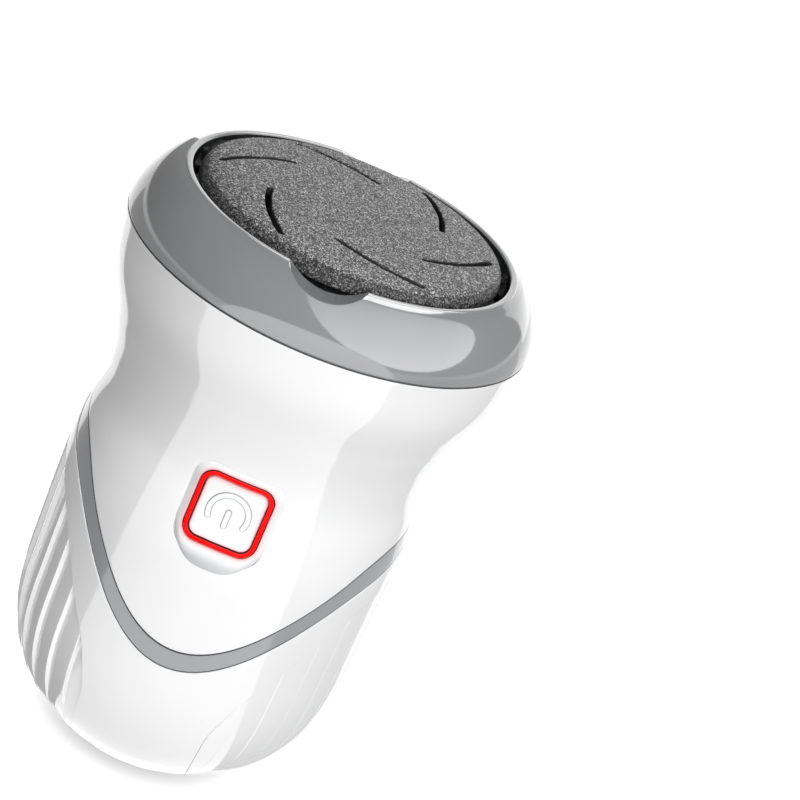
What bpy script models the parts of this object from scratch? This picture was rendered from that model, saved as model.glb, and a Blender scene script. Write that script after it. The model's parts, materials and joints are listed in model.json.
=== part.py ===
"""Electric callus remover: a palm-size grinder with a spinning abrasive disc on its head.

The body is turned about Z, stands on its base at z = 0 and faces -Y with its power button.
Sizes are named in millimetres; the helper functions turn them into metres.
An angle "phi" on the body is in degrees from the front (-Y), positive towards +X.
"""
import math

import bmesh
import bpy
import numpy as np
from mathutils import Vector

MM = 0.001
OBJECT_NAME = "electric_callus_remover"

# Driving dimensions, in millimetres
GAP = 0.3                  # clearance between neighbouring pieces
WALL = 2.0                 # thickness of the moulded shells
HEAD_RADIUS = 35.0         # body radius where the collar sits
HEAD_SEAM_Z = 95.9         # height of the joint between body and collar
BELLY_RADIUS = 30.3
BELLY_Z = 31.0             # top of the rounded bottom
DOME_POWER = 2.6           # squareness of the rounded bottom
DOME_CUT = 0.8             # how much of the round bottom is cut away to stand on
NECK_OUTLINE = ((31.0, 30.3), (44.0, 30.4), (53.0, 30.25), (59.0, 29.5), (66.0, 28.5),
                (72.0, 29.1), (79.0, 31.0), (87.0, 33.7), (95.9, 35.0))

COLLAR_HEIGHT = 9.8
COLLAR_LIP_RADIUS = 28.3   # outside of the lip round the opening
COLLAR_BORE = 27.4         # inside of the opening
COLLAR_ROUNDNESS = 1.6
NOTCH_RADIUS = 9.7         # finger notches in the lip, front and rear
NOTCH_DEPTH = 2.4

DISC_RADIUS = 26.0
DISC_TOP_Z = 107.2
DISC_BOTTOM_Z = 103.6
DISC_SKIN = 1.2
SLOT_COUNT = 6
SLOT_WIDTH = 1.05
SLOT_START = 6.0           # angle of the first slot's outer end from +X
SLOT_SWEEP = 40.7          # degrees that a slot turns on its way inwards

BAND_TIP_Z = 35.9          # upper edge of the trim band at the front
BAND_RISE = 22.5           # how far the band climbs from its tip to the sides
BAND_SPREAD = 69.0         # phi where that steep climb ends
BAND_TAIL = 5.6            # further gentle climb from the sides to the back
TAIL_START = 60.0          # phi where the gentle climb starts
TAIL_END = 110.0           # and where the band becomes level
BAND_WIDTH = 3.8           # upright width at the tip
BAND_WIDENING = 1.3        # how much wider the band is at the sides
BAND_NARROWING = 1.0       # how much of that it loses again on its way to the back
BAND_SINK = 0.25
BAND_CLEARANCE = 0.32      # upright gap from the joint line to each shell along the band
BODY_COLUMNS = 48          # facets round the body
BASE_TOP_Z = 6.0
# Edge between the smooth front and the ribbed grip: height and phi
GRIP_EDGE = ((6.0, 27.5), (10.0, 24.5), (17.0, 22.4), (20.0, 22.3), (25.0, 25.0), (29.0, 28.6),
             (33.0, 34.5), (38.0, 42.0), (44.0, 53.0), (47.0, 62.0), (49.5, 72.0), (51.0, 80.0),
             (53.3, 88.0), (56.4, 95.5), (59.5, 102.0))
RIB_COUNT = 28
RIB_HEIGHT = 0.5

BUTTON_Z = 62.5
BUTTON_LEAN = 8.0          # degrees that the button's plane leans back
BUTTON_SIDE = 9.3
RING_SIDE = 12.5
RING_BAND = 1.3
BEZEL_WIDTH = 15.5
BEZEL_HEIGHT = 17.0
BEZEL_DROP = 0.8           # the bezel reaches further below the button than above it
BEZEL_PROUD = 0.7
CORNER = 2.7               # corner radius of the light ring
BOARD_DEPTH = 10.2         # from the body's skin to the control board

MOTOR_RADIUS = 12.0
MOTOR_BOTTOM_Z = 60.3
MOTOR_TOP_Z = 84.3
SPINDLE_RADIUS = 1.0
CELL_RADIUS = 9.15         # 18500 lithium cell, 50 mm long
CELL_BOTTOM_Z = 6.4
CELL_LENGTH = 50.0
CELL_Y = 5.0
SOCKET_Z = 16.0            # charging socket, low on the back
WIRE_RADIUS = 0.55

# Colours: base colour, roughness, metallic
WHITE = ((0.86, 0.87, 0.88), 0.15, 0.0)
COLLAR_GREY = ((0.36, 0.37, 0.38), 0.2, 0.0)
BAND_GREY = ((0.42, 0.43, 0.45), 0.3, 0.0)
GRIT = ((0.05, 0.05, 0.055), 0.9, 0.0)
BLACK = ((0.03, 0.03, 0.032), 0.5, 0.0)
RUBBER = ((0.06, 0.06, 0.065), 0.8, 0.0)
SPONGE = ((0.12, 0.12, 0.13), 1.0, 0.0)
STEEL = ((0.6, 0.6, 0.62), 0.3, 1.0)
MAGNET = ((0.12, 0.12, 0.13), 0.6, 0.4)
COPPER = ((0.6, 0.3, 0.14), 0.4, 1.0)
BOARD_GREEN = ((0.02, 0.2, 0.08), 0.5, 0.0)
LED_YELLOW = ((0.9, 0.8, 0.4), 0.3, 0.0)
RING_RED = ((0.85, 0.03, 0.03), 0.3, 0.0)
CELL_BLUE = ((0.04, 0.15, 0.45), 0.4, 0.0)
WIRE_RED = ((0.7, 0.03, 0.03), 0.5, 0.0)
WIRE_BLACK = ((0.03, 0.03, 0.03), 0.5, 0.0)


def clear_scene():
    for old in list(bpy.data.objects):
        bpy.data.objects.remove(old, do_unlink=True)


def new_collection(name):
    collection = bpy.data.collections.new(name)
    bpy.context.scene.collection.children.link(collection)
    return collection


def make_material(name, look):
    colour, roughness, metallic = look
    material = bpy.data.materials.new(name)
    material.use_nodes = True
    shader = material.node_tree.nodes["Principled BSDF"]
    shader.inputs["Base Color"].default_value = (*colour, 1.0)
    shader.inputs["Roughness"].default_value = roughness
    shader.inputs["Metallic"].default_value = metallic
    material.diffuse_color = (*colour, 1.0)
    return material


def add_part(name, data, look):
    """A visible piece with its own material."""
    data.materials.append(make_material(name, look))
    part = bpy.data.objects.new(name, data)
    PARTS.objects.link(part)
    return part


def add_cutter(name, data):
    """A shape that only cuts others."""
    cutter = bpy.data.objects.new(name, data)
    CUTTERS.objects.link(cutter)
    cutter.hide_render = True
    cutter.display_type = "WIRE"
    return cutter


def add(name, data, look):
    return add_cutter(name, data) if look is None else add_part(name, data, look)


def boolean(part, tool, operation="DIFFERENCE"):
    modifier = part.modifiers.new(operation.title(), "BOOLEAN")
    modifier.operation = operation
    modifier.solver = "EXACT"
    modifier.object = tool


def under(child, parent):
    """Put a piece into the parent's own frame."""
    child.parent = parent
    return child


def smooth_value(points, at):
    """Value at "at" of a smooth curve through (position, value) points."""
    xs = np.array([point[0] for point in points])
    ys = np.array([point[1] for point in points])
    slopes = np.gradient(ys, xs)
    at = min(max(at, xs[0]), xs[-1])
    i = min(int(np.searchsorted(xs, at, side="right")) - 1, len(xs) - 2)
    step = xs[i + 1] - xs[i]
    t = (at - xs[i]) / step
    start = (1 + 2 * t) * (1 - t) ** 2 * ys[i] + t * (1 - t) ** 2 * step * slopes[i]
    end = t * t * (3 - 2 * t) * ys[i + 1] + t * t * (t - 1) * step * slopes[i + 1]
    return float(start + end)


def body_radius(z):
    """Outer radius of the body at a height, below the collar."""
    if z > BELLY_Z:
        return smooth_value(NECK_OUTLINE, z)
    fall = (BELLY_Z - z) / (BELLY_Z + DOME_CUT)
    return BELLY_RADIUS * (1 - fall ** DOME_POWER) ** (1 / DOME_POWER)


def collar_radius(height):
    """Outer radius of the collar at a height above its seam."""
    rise = min(height / COLLAR_HEIGHT, 1.0)
    reach = HEAD_RADIUS - COLLAR_LIP_RADIUS
    return COLLAR_LIP_RADIUS + reach * (1 - rise ** COLLAR_ROUNDNESS) ** (1 / COLLAR_ROUNDNESS)


def band_climb(phi):
    """How far the trim band has climbed at phi, from 0 at its tip to 1 at the sides."""
    return math.sin(math.radians(90 * min(abs(phi) / BAND_SPREAD, 1.0))) ** 2


def band_tail(phi):
    """How far the band has gone up its gentle climb, from 0 at the sides to 1 at the back."""
    t = min(max((abs(phi) - TAIL_START) / (TAIL_END - TAIL_START), 0.0), 1.0)
    return t * t * (3 - 2 * t)


def band_top(phi):
    """Height of the trim band's upper edge: a rounded V at the front, level at the back."""
    return BAND_TIP_Z + BAND_RISE * band_climb(phi) + BAND_TAIL * band_tail(phi)


def band_bottom(phi):
    widening = BAND_WIDENING * band_climb(phi) - BAND_NARROWING * band_tail(phi)
    return band_top(phi) - BAND_WIDTH - widening


def on_body(phi, z, sink=0.0):
    """Point of the body's skin in metres."""
    radius = (body_radius(z) - sink) * MM
    angle = math.radians(phi)
    return Vector((radius * math.sin(angle), -radius * math.cos(angle), z * MM))


def blend(low, high, t):
    return low + (high - low) * t


def turned(name, profile, look, segments=36, centre=(0.0, 0.0)):
    """Turn a profile of (radius, height) about a vertical axis.

    The profile runs down its outer side. It starts and ends on the axis for a solid piece,
    and closes on itself for a ring.
    """
    mesh = bpy.data.meshes.new(name)
    points = [(radius * MM, 0.0, z * MM) for radius, z in profile]
    edges = [(i, i + 1) for i in range(len(points) - 1)]
    if profile[0][0] > 0:
        edges.append((len(points) - 1, 0))
    mesh.from_pydata(points, edges, [])
    piece = add(name, mesh, look)
    piece.location = (centre[0] * MM, centre[1] * MM, 0.0)
    screw = piece.modifiers.new("Turn", "SCREW")
    screw.steps = segments
    screw.render_steps = segments
    screw.use_merge_vertices = True
    screw.merge_threshold = 0.000001
    screw.use_smooth_shade = True
    return piece


def ring_profile(inner, outer, bottom, top):
    return [(outer, top), (outer, bottom), (inner, bottom), (inner, top)]


def rod_profile(radius, bottom, top):
    return [(0.0, top), (radius, top), (radius, bottom), (0.0, bottom)]


def block(name, size, location, look, bevel=0.0):
    """A box with the given size, centred on location."""
    mesh = bpy.data.meshes.new(name)
    shape = bmesh.new()
    bmesh.ops.create_cube(shape, size=MM)
    bmesh.ops.scale(shape, vec=size, verts=shape.verts)
    shape.to_mesh(mesh)
    shape.free()
    piece = add(name, mesh, look)
    piece.location = Vector(location) * MM
    if bevel:
        rounding = piece.modifiers.new("Round", "BEVEL")
        rounding.width = bevel * MM
        rounding.segments = 2
    return piece


def rods(name, spots, radius, bottom, top, look=None, sides=16):
    """Upright cylinders at the given (x, y) spots, as one object."""
    mesh = bpy.data.meshes.new(name)
    shape = bmesh.new()
    for x, y in spots:
        made = bmesh.ops.create_cone(shape, cap_ends=True, segments=sides, radius1=radius * MM,
                                     radius2=radius * MM, depth=(top - bottom) * MM)
        bmesh.ops.translate(shape, vec=Vector((x, y, (top + bottom) / 2)) * MM, verts=made["verts"])
    shape.to_mesh(mesh)
    shape.free()
    return add(name, mesh, look)


def flat_solid(name, loops, thickness, look):
    """Extrude flat outlines, given in the local XY plane, by thickness along local Z."""
    curve = bpy.data.curves.new(name, "CURVE")
    curve.dimensions = "2D"
    curve.fill_mode = "BOTH"
    curve.extrude = thickness / 2 * MM
    for loop in loops:
        spline = curve.splines.new("POLY")
        spline.points.add(len(loop) - 1)
        for point, (x, y) in zip(spline.points, loop):
            point.co = (x * MM, y * MM, 0.0, 1.0)
        spline.use_cyclic_u = True
    outline = bpy.data.objects.new(name + "_outline", curve)
    PARTS.objects.link(outline)
    solid = bpy.data.meshes.new_from_object(outline.evaluated_get(bpy.context.evaluated_depsgraph_get()))
    bpy.data.objects.remove(outline)
    shape = bmesh.new()
    shape.from_mesh(solid)
    bmesh.ops.remove_doubles(shape, verts=shape.verts, dist=0.000001)
    bmesh.ops.recalc_face_normals(shape, faces=shape.faces)
    shape.to_mesh(solid)
    shape.free()
    solid.name = name
    return add(name, solid, look)


def rounded_rectangle(width, height, radius, steps=3, shift=0.0):
    """Outline of a rectangle with round corners, moved along Y by shift."""
    points = []
    for corner in range(4):
        cx = (width / 2 - radius) * (1 if corner in (0, 3) else -1)
        cy = (height / 2 - radius) * (1 if corner in (0, 1) else -1)
        for step in range(steps + 1):
            angle = math.radians(90 * corner + 90 * step / steps)
            points.append((cx + radius * math.cos(angle), cy + shift + radius * math.sin(angle)))
    return points


def circle(radius, steps=16):
    return [(radius * math.cos(2 * math.pi * i / steps), radius * math.sin(2 * math.pi * i / steps))
            for i in range(steps)]


def wrapped_sheet(name, columns, rows, surface, look, closed=False):
    """A grid laid over the body by surface(u, v), thickened inwards into a shell."""
    mesh = bpy.data.meshes.new(name)
    shape = bmesh.new()
    bmesh.ops.create_grid(shape, x_segments=columns, y_segments=rows, size=0.5)
    for vertex in shape.verts:
        vertex.co = surface(vertex.co.x + 0.5, vertex.co.y + 0.5)
    if closed:
        bmesh.ops.remove_doubles(shape, verts=shape.verts, dist=0.000001)
    shape.to_mesh(mesh)
    shape.free()
    mesh.shade_smooth()
    piece = add(name, mesh, look)
    thicken = piece.modifiers.new("Wall", "SOLIDIFY")
    thicken.thickness = WALL * MM
    thicken.offset = -1.0
    return piece


def wire(name, route, look):
    """A round lead along a smooth line through the route's points."""
    stops = [(float(i), point) for i, point in enumerate(route)]
    count = 3 * (len(route) - 1)
    curve = bpy.data.curves.new(name, "CURVE")
    curve.dimensions = "3D"
    curve.bevel_depth = WIRE_RADIUS * MM
    curve.bevel_resolution = 1
    curve.use_fill_caps = True
    spline = curve.splines.new("POLY")
    spline.points.add(count)
    for i, point in enumerate(spline.points):
        at = i / 3
        place = [smooth_value([(t, stop[axis]) for t, stop in stops], at) * MM for axis in range(3)]
        point.co = (*place, 1.0)
    return add_part(name, curve, look)


def screw(name, x, y, seat, tip, head_radius, shank_radius, head_height, upwards=False):
    """A pan-head screw whose head sits on height "seat" and whose shank ends at "tip"."""
    side = -1 if upwards else 1
    profile = [(0.0, seat + side * head_height), (head_radius * 0.75, seat + side * head_height),
               (head_radius, seat + side * head_height * 0.5), (head_radius, seat), (shank_radius, seat),
               (shank_radius, tip), (0.0, tip)]
    if upwards:
        profile.reverse()
    return turned(name, profile, STEEL, segments=12, centre=(x, y))


# Shells of the body

def build_upper_shell(bezel_cutter):
    """White neck and shield, from the trim band up to the collar."""
    def surface(u, v):
        phi = blend(-180, 180, u)
        return on_body(phi, blend(band_top(phi) + BAND_CLEARANCE, HEAD_SEAM_Z - GAP, v))

    shell = wrapped_sheet("upper_shell", BODY_COLUMNS, 7, surface, WHITE, closed=True)
    boolean(shell, bezel_cutter)


def build_trim_band():
    """Grey V-shaped band between the upper and lower shells."""
    def surface(u, v):
        phi = blend(-180, 180, u)
        z = blend(band_bottom(phi) + BAND_CLEARANCE, band_top(phi) - BAND_CLEARANCE, v)
        return on_body(phi, z, BAND_SINK)

    wrapped_sheet("trim_band", BODY_COLUMNS, 1, surface, BAND_GREY, closed=True)


def grip_edge(v):
    """Height and phi of the edge between the front shell and the grip, for v from 0 to 1."""
    low = BASE_TOP_Z + GAP / 2
    z = blend(low, band_bottom(GRIP_EDGE[-1][1]) - BAND_CLEARANCE, v)
    return z, smooth_value(GRIP_EDGE, z)


def lower_height(phi, edge_z, edge_phi):
    """Height at phi on the row of a lower shell that meets the grip's edge at edge_z."""
    base = BASE_TOP_Z + GAP / 2

    def room(at):
        return band_bottom(at) - BAND_CLEARANCE - base

    return base + (edge_z - base) * room(phi) / room(edge_phi)


def build_front_shell():
    """Smooth white front below the band, narrow at the base and wide at the band."""
    widest = GRIP_EDGE[-1][1]

    def surface(u, v):
        side = blend(-1, 1, u)
        edge_z, edge_phi = grip_edge(v)
        phi = side * edge_phi - math.degrees(GAP / 2 / body_radius(edge_z)) * side ** 9
        return on_body(phi, lower_height(phi, edge_z, edge_phi))

    columns = round(2 * widest / 360 * BODY_COLUMNS)
    wrapped_sheet("front_shell", columns, 8, surface, WHITE)


def build_grip_shell(socket_cutter):
    """Ribbed grip round the sides and the back."""
    def surface(u, v):
        z, edge_phi = grip_edge(v)
        start = edge_phi + math.degrees(GAP / 2 / body_radius(z))
        rib = round(u * 2 * RIB_COUNT) % 2
        phi = blend(start, 360 - start, u)
        around = min(phi, 360 - phi)
        return on_body(phi, lower_height(around, z, edge_phi), -RIB_HEIGHT * rib)

    shell = wrapped_sheet("grip_shell", 2 * RIB_COUNT, 8, surface, WHITE)
    boolean(shell, socket_cutter)


def build_base():
    """Domed base cap with its rubber foot and the two screws under the foot."""
    skirt = [(body_radius(z), z) for z in (BASE_TOP_Z - GAP / 2, 4.4, 3.0, 1.8, 0.9, 0.35)]
    recess, recess_top, floor_top = 9.7, 1.5, 4.2
    inside = [(body_radius(z + 0.5) - WALL, z) for z in (floor_top, 5.0, BASE_TOP_Z - GAP / 2)]
    profile = skirt + [(recess, 0.35), (recess, recess_top), (0.0, recess_top)]
    lid = [(0.0, floor_top)] + inside
    base = turned("base_cap", lid + profile, WHITE)
    spots = ((-5.0, 0.0), (5.0, 0.0))
    boolean(base, rods("base_screw_holes", spots, 1.3, 1.0, 5.0))
    boolean(base, rods("base_screw_seats", spots, 2.4, 1.0, 3.0))
    turned("foot_pad", rod_profile(recess - GAP, 0.0, recess_top - GAP), RUBBER, segments=32)
    for i, (x, y) in enumerate(spots, 1):
        screw(f"base_screw_{i}", x, y, 2.7, 5.9, 2.0, 1.0, 1.0, upwards=True)


# Head

def build_collar():
    """Grey collar with a lip round its opening and two finger notches."""
    top = HEAD_SEAM_Z + COLLAR_HEIGHT
    outer = [(collar_radius(h), HEAD_SEAM_Z + h) for h in (9.5, 8.6, 7.0, 4.9, 2.5, 0.05)]
    lip = [(COLLAR_BORE, top - 0.7), (COLLAR_BORE + 0.35, top - 0.1), (COLLAR_LIP_RADIUS + 0.2, top)]
    skirt = [(31.2, HEAD_SEAM_Z + 0.05), (31.2, 93.0), (29.6, 93.0), (29.6, 96.4), (COLLAR_BORE, 96.4)]
    collar = turned("collar", lip + outer + skirt, COLLAR_GREY, segments=48)
    mesh = bpy.data.meshes.new("notch_cutter")
    shape = bmesh.new()
    bmesh.ops.create_cone(shape, cap_ends=True, segments=36, radius1=NOTCH_RADIUS * MM,
                          radius2=NOTCH_RADIUS * MM, depth=2.4 * HEAD_RADIUS * MM)
    shape.to_mesh(mesh)
    shape.free()
    notch = add_cutter("notch_cutter", mesh)
    notch.rotation_euler = (math.radians(90), 0.0, 0.0)
    notch.location = (0.0, 0.0, (top + NOTCH_RADIUS - NOTCH_DEPTH) * MM)
    boolean(collar, notch)
    seal_radius, seal_thick, seal_z = 31.98, 0.45, 94.5
    seal = [(seal_radius + seal_thick * math.cos(a), seal_z + seal_thick * math.sin(a))
            for a in [-math.pi / 3 * i for i in range(6)]]
    turned("collar_seal", seal, RUBBER, segments=32)


def slot_outline(start):
    """Outline of one curved slot in the disc, swept clockwise towards the centre."""
    steps = 7
    middle = []
    for i in range(steps):
        s = i / (steps - 1)
        radius = DISC_RADIUS * (0.89 - 0.413 * s + 0.118 * s * s)
        angle = math.radians(start - SLOT_SWEEP * s)
        middle.append(np.array((radius * math.cos(angle), radius * math.sin(angle))))
    left, right = [], []
    for i, point in enumerate(middle):
        along = middle[min(i + 1, steps - 1)] - middle[max(i - 1, 0)]
        along = along / np.linalg.norm(along)
        across = np.array((-along[1], along[0])) * SLOT_WIDTH / 2
        left.append(tuple(point + across))
        right.append(tuple(point - across))
    return left + right[::-1]


def build_disc():
    """Abrasive disc: a shallow domed cap with six curved slots."""
    outer = [(0.0, DISC_TOP_Z), (13.0, DISC_TOP_Z - 0.1), (22.0, DISC_TOP_Z - 0.45),
             (24.6, DISC_TOP_Z - 0.9), (25.7, DISC_TOP_Z - 1.7), (DISC_RADIUS, DISC_TOP_Z - 2.5),
             (DISC_RADIUS, DISC_BOTTOM_Z)]
    inner = [(DISC_RADIUS - DISC_SKIN, DISC_BOTTOM_Z), (DISC_RADIUS - DISC_SKIN, DISC_TOP_Z - 2.3),
             (23.0, DISC_TOP_Z - 1.7), (0.0, DISC_TOP_Z - 1.4)]
    disc = turned("grinding_disc", outer + inner, GRIT, segments=48)
    loops = [slot_outline(SLOT_START + 360 / SLOT_COUNT * i) for i in range(SLOT_COUNT)]
    slots = flat_solid("slot_cutter", loops, 6.0, None)
    slots.location = (0.0, 0.0, DISC_TOP_Z * MM)
    boolean(disc, slots)


def around(radius, count, start=0.0):
    """Evenly spaced (x, y) spots on a circle."""
    turns = [math.radians(start + 360 / count * i) for i in range(count)]
    return [(radius * math.cos(turn), radius * math.sin(turn)) for turn in turns]


def build_rotor():
    """Everything that spins with the disc: carrier, spindle, fan and armature."""
    bore = SPINDLE_RADIUS + GAP
    carrier = [(0.0, 104.9), (24.2, 104.6), (24.2, 103.6), (4.5, 103.6), (4.5, 97.2), (bore, 97.2),
               (bore, 103.4), (0.0, 103.4)]
    plate = turned("disc_carrier", carrier, BLACK, segments=32)
    boolean(plate, rods("carrier_windows", around(14.5, 6, 30.0), 5.2, 102.0, 106.0, sides=14))
    turned("spindle", rod_profile(SPINDLE_RADIUS, 59.2, 103.1), STEEL, segments=16)
    turned("motor_armature", ring_profile(bore, 8.6, 63.0, 80.0), COPPER, segments=20)
    build_fan(bore)


def build_fan(bore):
    """Paddle fan that draws the dust down through the filter."""
    blades, tip, root, half = 9, 16.0, 4.0, 0.6
    outline = []
    for i in range(blades):
        angle = 2 * math.pi * i / blades
        lean = angle - 0.35
        out = np.array((math.cos(lean), math.sin(lean)))
        side = np.array((-out[1], out[0])) * half
        base = np.array((math.cos(angle), math.sin(angle))) * root
        base_side = np.array((-math.sin(angle), math.cos(angle))) * half
        outline += [tuple(base - base_side), tuple(out * tip - side), tuple(out * tip + side),
                    tuple(base + base_side)]
    fan = flat_solid("fan_wheel", [outline, circle(bore, 12)], 2.4, BLACK)
    fan.location = (0.0, 0.0, 89.9 * MM)


def build_head_inside():
    """Deck under the disc, dust tray, filter and the deck's screws."""
    screw_spots = around(24.75, 3, 30.0)
    deck = turned("head_deck", ring_profile(5.2, 26.9, 98.4, 100.0), COLLAR_GREY)
    boolean(deck, rods("deck_holes", screw_spots, 1.3, 98.0, 100.5, sides=12))
    boolean(deck, rods("deck_windows", around(14.0, 6), 4.2, 98.0, 100.5, sides=14))
    tray = turned("dust_tray", [(26.6, 98.1), (26.6, 92.6), (31.0, 92.6), (31.0, 91.4), (12.0, 91.4),
                                (12.0, 92.6), (22.9, 92.6), (22.9, 98.1)], BLACK)
    boolean(tray, rods("tray_holes", screw_spots, 1.3, 94.0, 98.5, sides=12))
    turned("dust_filter", ring_profile(2.4, 14.2, 92.9, 95.6), SPONGE, segments=24)
    for i, (x, y) in enumerate(screw_spots, 1):
        screw(f"deck_screw_{i}", x, y, 100.3, 94.4, 2.0, 1.0, 1.0)


# Drive

def build_motor():
    """Motor can with its ring magnet, end cap, mounting plate and screws."""
    bore = SPINDLE_RADIUS + GAP
    wall = 1.0
    roof = MOTOR_TOP_Z - 1.2
    can = [(MOTOR_RADIUS, MOTOR_TOP_Z), (MOTOR_RADIUS, MOTOR_BOTTOM_Z),
           (MOTOR_RADIUS - wall, MOTOR_BOTTOM_Z), (MOTOR_RADIUS - wall, roof), (bore, roof),
           (bore, MOTOR_TOP_Z)]
    screw_spots = ((-8.0, 0.0), (8.0, 0.0))
    motor = turned("motor_can", can, STEEL, segments=24)
    boolean(motor, rods("motor_holes", screw_spots, 1.3, roof - 0.5, MOTOR_TOP_Z + 0.5, sides=12))
    turned("motor_magnet", ring_profile(9.2, 10.7, 64.0, 79.0), MAGNET, segments=20)
    turned("motor_end_cap", ring_profile(bore, MOTOR_RADIUS, 58.7, MOTOR_BOTTOM_Z - GAP), BLACK,
           segments=24)
    mount = turned("motor_mount", ring_profile(2.4, 29.8, 84.6, 86.6), BLACK, segments=36)
    boolean(mount, rods("mount_holes", screw_spots, 1.3, 84.0, 87.0, sides=12))
    for i, (x, y) in enumerate(screw_spots, 1):
        screw(f"motor_screw_{i}", x, y, 86.9, 83.4, 2.0, 1.0, 1.0)


# Power and control

def build_cell():
    """Lithium cell standing in its cradle."""
    top = CELL_BOTTOM_Z + CELL_LENGTH
    cell = [(0.0, top + 0.5), (3.0, top + 0.5), (3.0, top), (CELL_RADIUS - 0.5, top),
            (CELL_RADIUS, top - 0.5), (CELL_RADIUS, CELL_BOTTOM_Z), (0.0, CELL_BOTTOM_Z)]
    turned("battery_cell", cell, CELL_BLUE, segments=24, centre=(0.0, CELL_Y))
    inner, outer, floor = CELL_RADIUS + GAP, CELL_RADIUS + 1.9, 4.6
    profile = [(0.0, floor + 1.5), (inner, floor + 1.5), (inner, 50.0), (outer, 50.0), (outer, floor),
               (0.0, floor)]
    holder = turned("cell_cradle", profile, BLACK, segments=28, centre=(0.0, CELL_Y))
    boolean(holder, block("cradle_front_cutter", (24.0, 10.0, 60.0), (0.0, CELL_Y - 9.0, 38.0), None))
    boolean(holder, rods("cradle_holes", ((-5.0, 0.0), (5.0, 0.0)), 1.3, 4.0, 7.0, sides=12))


def build_charging():
    """Charging socket low on the back, on its small board."""
    mouth = body_radius(SOCKET_Z) - 0.4
    length = 7.3
    loops = [rounded_rectangle(8.9, 3.2, 1.5), rounded_rectangle(8.1, 2.4, 1.1)]
    socket = flat_solid("usb_socket", loops, length, STEEL)
    socket.rotation_euler = (math.radians(90), 0.0, 0.0)
    socket.location = Vector((0.0, mouth - length / 2, SOCKET_Z)) * MM
    block("charge_board", (12.0, 6.4, 1.0), (0.0, 20.5, SOCKET_Z - 2.5), BOARD_GREEN)


def build_button_stack(frame, bezel_loop):
    """Bezel, light ring, button cap, switch, lamps and board, in the button's own frame."""
    upright = (math.radians(90), 0.0, 0.0)

    def in_front(piece, depth):
        piece.rotation_euler = upright
        piece.location = (0.0, depth * MM, 0.0)
        return under(piece, frame)

    opening = rounded_rectangle(RING_SIDE + 2 * GAP, RING_SIDE + 2 * GAP, CORNER + GAP)
    bezel_thick = 4.7
    bezel = flat_solid("button_bezel", [bezel_loop, opening], bezel_thick, WHITE)
    in_front(bezel, bezel_thick / 2 - BEZEL_PROUD)
    ring_inside = RING_SIDE - 2 * RING_BAND
    ring_loops = [rounded_rectangle(RING_SIDE, RING_SIDE, CORNER),
                  rounded_rectangle(ring_inside, ring_inside, CORNER - RING_BAND * 0.6)]
    ring_thick = 7.8
    in_front(flat_solid("light_ring", ring_loops, ring_thick, RING_RED), ring_thick / 2 - 0.8)
    cap_thick = 3.2
    cap_loop = rounded_rectangle(BUTTON_SIDE, BUTTON_SIDE, CORNER - RING_BAND * 0.6 - GAP)
    cap = in_front(flat_solid("power_button", [cap_loop], cap_thick, WHITE), cap_thick / 2 - 0.9)
    stem = in_front(flat_solid("button_stem", [circle(1.6, 12)], 3.0, None), 3.1)
    boolean(cap, stem, "UNION")
    switch = under(block("tact_switch", (6.0, 3.5, 6.0), (0.0, 8.15, 0.0), BLACK), frame)
    plunger = in_front(flat_solid("switch_plunger", [circle(1.75, 12)], 1.5, None), 6.05)
    boolean(switch, plunger, "UNION")
    for i, side in enumerate((-1, 1), 1):
        under(block(f"ring_led_{i}", (2.0, 2.0, 3.0), (side * 5.6, 8.8, 0.0), LED_YELLOW), frame)
    under(block("control_board", (18.0, 1.6, 50.0), (0.0, BOARD_DEPTH + 0.8, -17.0), BOARD_GREEN), frame)


def build_wires():
    """Leads from the motor, the cell and the charging board to the control board."""
    for side, tag, look in ((-1, "red", WIRE_RED), (1, "black", WIRE_BLACK)):
        wire(f"motor_lead_{tag}", ((side * 4.5, -5.0, 57.7), (side * 4.6, -7.5, 55.6),
                                   (side * 5.0, -12.5, 53.2), (side * 5.2, -17.6, 52.4)), look)
        wire(f"charge_lead_{tag}", ((side * 3.0, 19.6, 15.0), (side * 9.5, 17.6, 17.5),
                                    (side * 14.5, 5.0, 19.5), (side * 12.0, -8.0, 22.0),
                                    (side * 6.5, -16.5, 25.0), (side * 5.6, -21.2, 26.5)), look)
    wire("cell_lead_red", ((0.0, 4.0, 57.7), (1.0, -1.0, 57.6), (2.0, -7.0, 55.0), (2.2, -12.5, 48.0),
                           (2.0, -18.2, 45.0)), WIRE_RED)
    wire("cell_lead_black", ((-2.0, -5.2, 12.0), (-2.4, -9.0, 14.0), (-3.0, -15.0, 21.0),
                             (-3.0, -19.5, 30.0), (-3.0, -20.2, 34.0)), WIRE_BLACK)


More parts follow.
